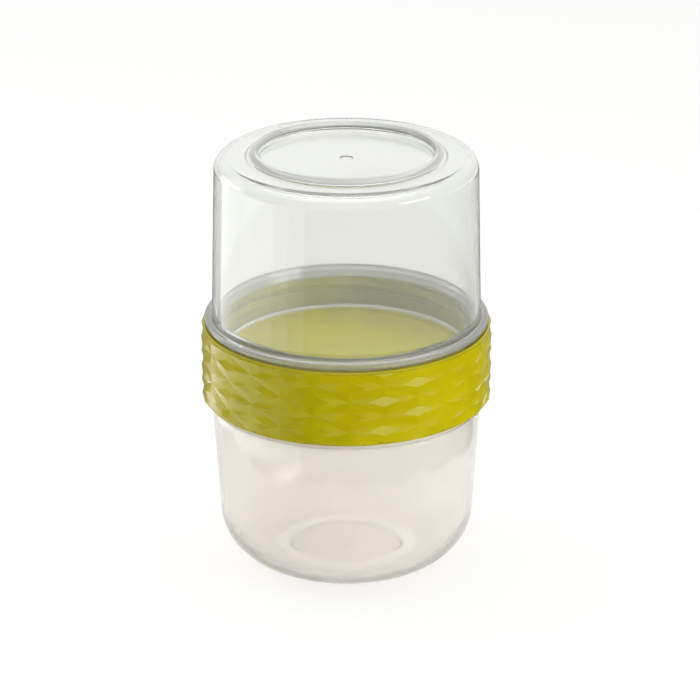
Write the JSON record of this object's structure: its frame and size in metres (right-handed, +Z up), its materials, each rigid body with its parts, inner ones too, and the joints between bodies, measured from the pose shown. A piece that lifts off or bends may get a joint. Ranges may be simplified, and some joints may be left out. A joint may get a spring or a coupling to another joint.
{
  "type": "food container",
  "caption": "Snack container with a clear upside-down upper cup and a hazy lower cup screwed into one faceted green grip ring with a divider.",
  "frame": {"origin": "middle of the lower cup's foot, on the surface that it stands on", "axes": "+Z up along the axis of both cups and the ring"},
  "size_m": [0.0866, 0.0862, 0.1284],
  "materials": {
    "lower_cup": "hazy translucent polypropylene, moulded and glossy",
    "upper_cup": "clear moulded copolyester, polished",
    "collar": "moulded lime polypropylene, satin",
    "grip_band": "moulded lime elastomer with flat facets, satin gloss",
    "seal": "natural silicone, matt"
  },
  "bodies": {
    "lower_cup": {"lower_cup": "lower_cup"},
    "lower_seal": {"lower_seal": "seal"},
    "ring": {"collar": "collar", "grip_band": "grip_band", "divider_disc": "collar"},
    "upper_seal": {"upper_seal": "seal"},
    "upper_cup": {"upper_cup": "upper_cup"}
  },
  "joints": [
    {"name": "ring_rise", "type": "slide", "parent": "lower_cup", "child": "lower_seal", "axis": [0, 0, 1], "range_m": [0, 0.0096]},
    {"name": "ring_twist", "type": "hinge", "parent": "lower_seal", "child": "ring", "pos_m": [0, 0, 0.0635], "axis": [0, 0, 1], "range_deg": [0, 432]},
    {"name": "upper_cup_twist", "type": "hinge", "parent": "ring", "child": "upper_seal", "pos_m": [0, 0, 0.0635], "axis": [0, 0, 1], "range_deg": [0, 432]},
    {"name": "upper_cup_rise", "type": "slide", "parent": "upper_seal", "child": "upper_cup", "axis": [0, 0, 1], "range_m": [0, 0.0096]}
  ],
  "couplings": [
    {"joint": "ring_rise", "follows": "ring_twist", "m_per_rad": 0.0012732},
    {"joint": "upper_cup_rise", "follows": "upper_cup_twist", "m_per_rad": 0.0012732}
  ]
}
